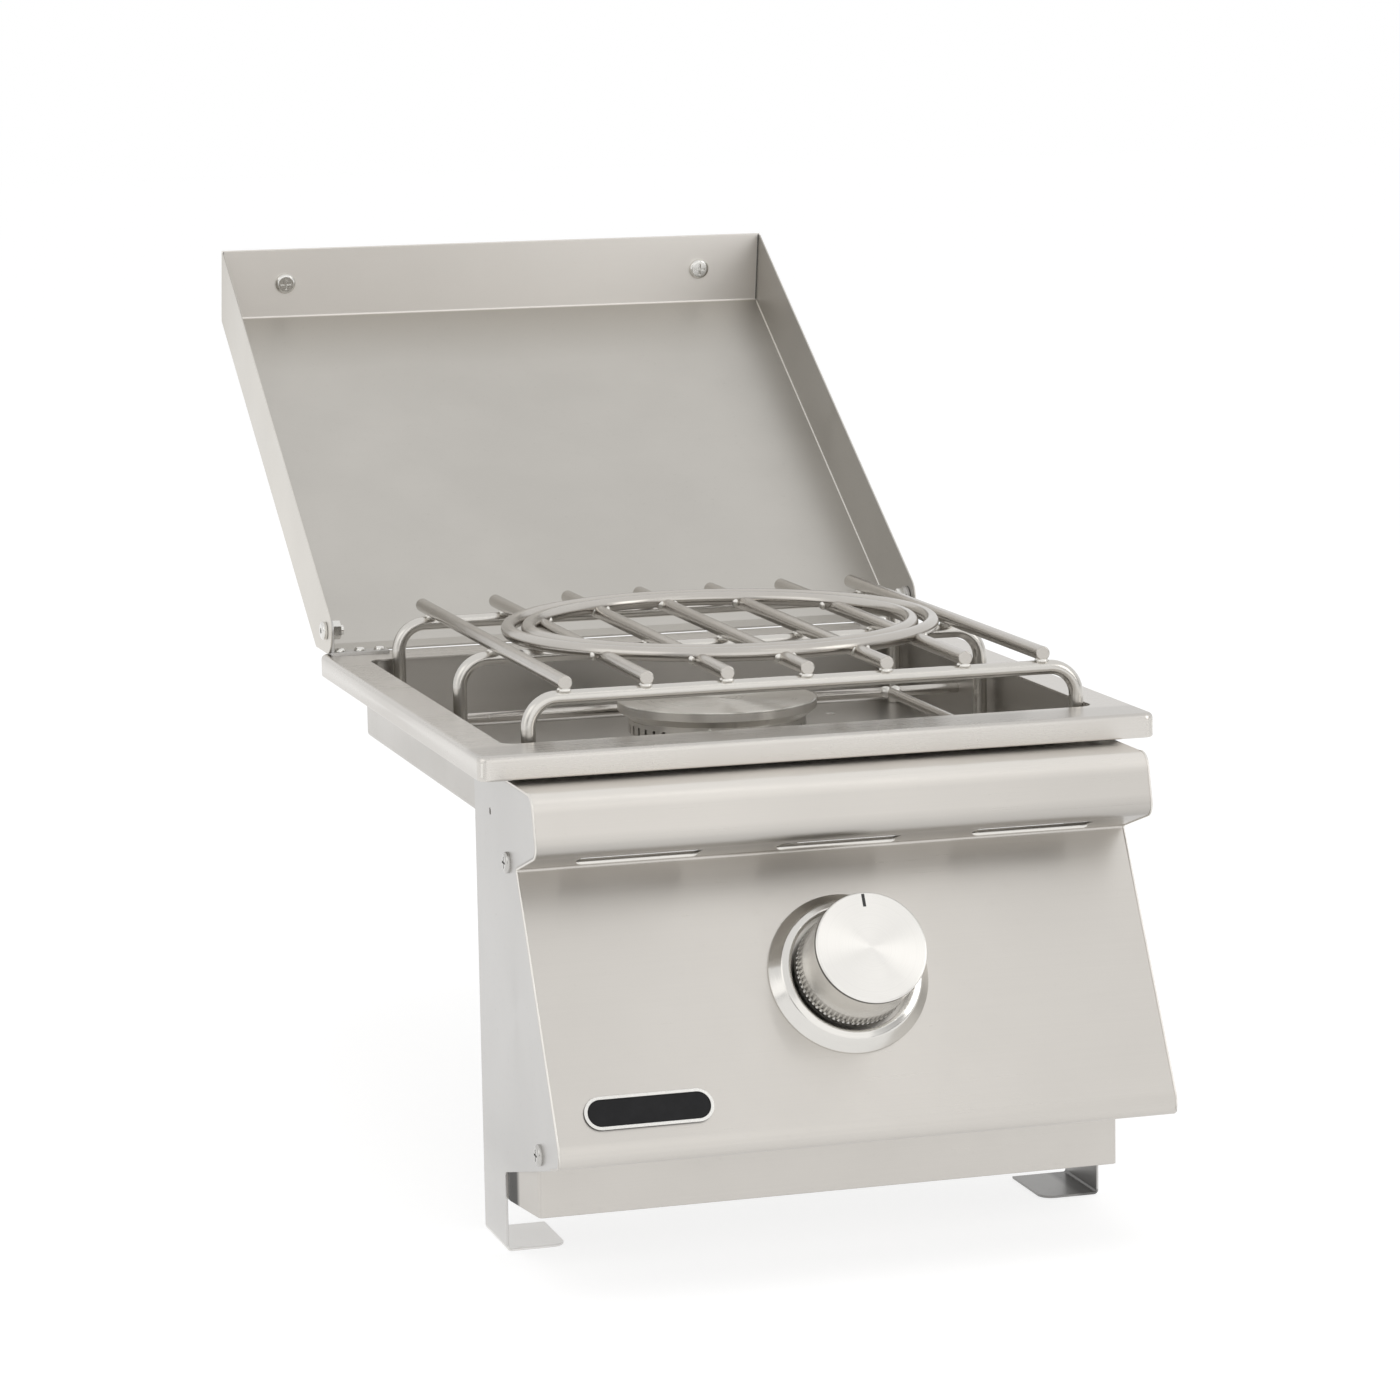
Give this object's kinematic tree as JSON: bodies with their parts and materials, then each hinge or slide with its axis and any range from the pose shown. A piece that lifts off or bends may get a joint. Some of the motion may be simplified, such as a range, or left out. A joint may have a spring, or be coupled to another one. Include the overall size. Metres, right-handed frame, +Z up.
{
  "type": "built-in side burner",
  "caption": "Drop-in gas side burner with a folded rim, round burner, bar grate, hinged lid and a leaning control panel with a push and turn knob.",
  "frame": {"origin": "middle of the underside of the rim's rear hem, where the rim rests on the counter", "axes": "+X to the right seen from the front, +Y to the back, +Z up"},
  "size_m": [0.38, 0.8369, 0.5073],
  "materials": {
    "rim_steel": "brushed",
    "box_steel": "satin",
    "panel_steel": "brushed",
    "bracket_steel": "mill",
    "lid_steel": "brushed",
    "rod_steel": "polished rod",
    "polished_steel": "polished",
    "knob_metal": "satin face, polished side",
    "screw_steel": "plain",
    "burner_steel": "turned",
    "tube_aluminium": "satin",
    "valve_aluminium": "cast",
    "mixer_steel": "plain",
    "brass": "machined",
    "ceramic": "glazed",
    "plate_metal": "black field, bright border",
    "mark_black": "matt"
  },
  "bodies": {
    "frame": {"rim_frame": "rim_steel", "burner_box": "box_steel", "right_side_bracket": "bracket_steel", "left_side_bracket": "bracket_steel", "control_panel": "panel_steel", "lower_apron": "panel_steel", "bracket_screws": "screw_steel", "name_plate": "plate_metal", "knob_bezel": "polished_steel", "valve_body": "valve_aluminium", "valve_bracket": "mixer_steel", "valve_screws": "screw_steel", "gas_inlet_fitting": "brass", "supply_tube": "tube_aluminium", "orifice_spud": "brass", "mixing_tube": "mixer_steel", "air_shutter": "mixer_steel", "burner_body": "burner_steel", "burner_cap": "burner_steel", "burner_stays": "rod_steel", "igniter_electrode": "ceramic", "electrode_bracket": "mixer_steel", "right_pivot_ear": "bracket_steel", "left_pivot_ear": "bracket_steel", "pivot_bolts": "screw_steel", "pivot_nuts": "screw_steel", "ear_rivets": "screw_steel"},
    "lid": {"lid_shell": "lid_steel", "lid_handle": "polished_steel", "handle_posts": "screw_steel", "handle_screws": "screw_steel"},
    "grate": {"grate_bars": "rod_steel", "grate_outer_ring": "rod_steel", "grate_inner_ring": "rod_steel", "grate_front_rod": "polished_steel", "grate_middle_rod": "polished_steel", "grate_rear_rod": "polished_steel"},
    "push_collar": {"stem_collar": "screw_steel"},
    "knob_set": {"knob": "knob_metal", "knob_pointer": "mark_black", "valve_stem": "brass"}
  },
  "joints": [
    {"name": "lid_hinge", "type": "hinge", "parent": "frame", "child": "lid", "pos_m": [0, 0, 0.028], "axis": [1, 0, 0], "range_deg": [0, 147]},
    {"name": "grate_lift", "type": "slide", "parent": "frame", "child": "grate", "axis": [0, 0, 1], "range_m": [0, 0.004]},
    {"name": "knob_push", "type": "slide", "parent": "frame", "child": "push_collar", "axis": [0, 0.8721, -0.4894], "range_m": [0, 0.004], "stiffness_N_per_m": 1500, "springref_m": -0.002},
    {"name": "knob_turn", "type": "hinge", "parent": "push_collar", "child": "knob_set", "pos_m": [0, -0.43282, -0.11009], "axis": [0, -0.8721, 0.4894], "range_deg": [0, 180]}
  ]
}
